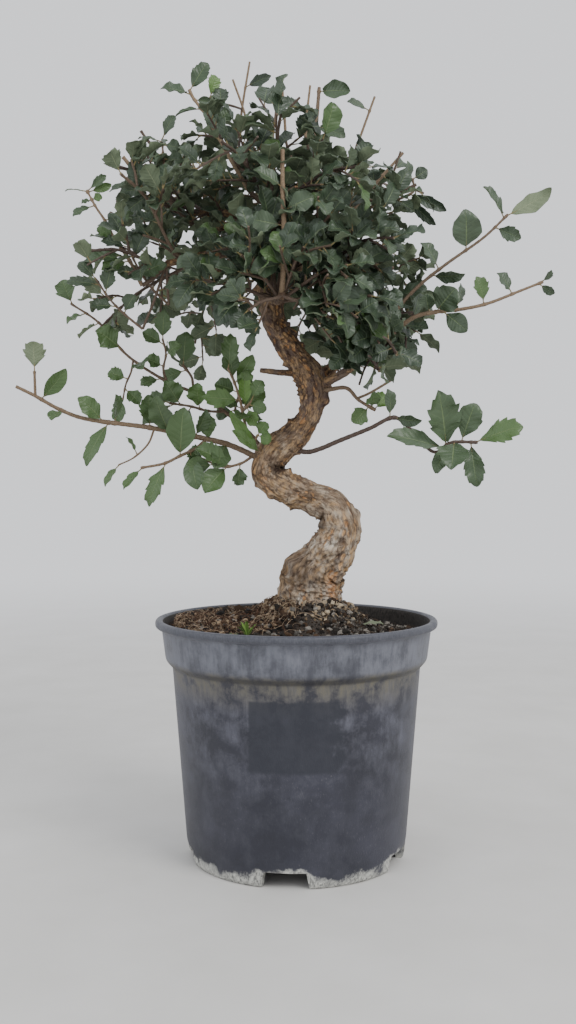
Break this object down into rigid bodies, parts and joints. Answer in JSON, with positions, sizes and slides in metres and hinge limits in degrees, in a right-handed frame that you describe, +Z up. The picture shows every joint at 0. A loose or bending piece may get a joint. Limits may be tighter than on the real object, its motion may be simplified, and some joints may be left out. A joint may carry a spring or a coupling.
{
  "type": "cork oak bonsai",
  "caption": "Small cork oak tree with a bent corky trunk, thin branches and toothed leaves, growing in soil in a round plastic nursery pot that stands on its foot.",
  "frame": {"origin": "middle of the pot's underside, on the surface that the pot stands on", "axes": "+Z up the plant, -Y towards the front of the tree, +X to the right of the front view"},
  "size_m": [0.3497, 0.2108, 0.5323],
  "materials": {
    "pot": "matte",
    "soil": "matte",
    "bark": "matte",
    "foliage": "satin"
  },
  "bodies": {
    "root": {"pot": "pot", "soil": "soil", "trunk": "bark", "front_shoot": "foliage", "left_thin_branch": "foliage", "left_upright_shoot": "foliage", "low_left_branch": "foliage", "low_right_branch": "foliage", "right_high_shoot": "foliage", "right_low_shoot": "foliage", "right_twig": "foliage", "spray_01": "foliage", "spray_02": "foliage", "spray_03": "foliage", "spray_04": "foliage", "spray_05": "foliage", "spray_06": "foliage", "spray_07": "foliage", "spray_08": "foliage", "spray_09": "foliage", "spray_10": "foliage", "spray_11": "foliage", "spray_12": "foliage", "spray_13": "foliage", "spray_14": "foliage", "spray_15": "foliage", "spray_16": "foliage", "spray_17": "foliage", "spray_18": "foliage", "spray_19": "foliage", "spray_20": "foliage", "spray_21": "foliage", "spray_22": "foliage", "spray_23": "foliage", "spray_24": "foliage", "spray_25": "foliage", "spray_26": "foliage", "spray_27": "foliage", "spray_28": "foliage", "spray_29": "foliage", "spray_30": "foliage", "spray_31": "foliage", "spray_32": "foliage", "spray_33": "foliage", "spray_34": "foliage", "spray_35": "foliage", "spray_36": "foliage", "spray_37": "foliage"}
  },
  "joints": []
}
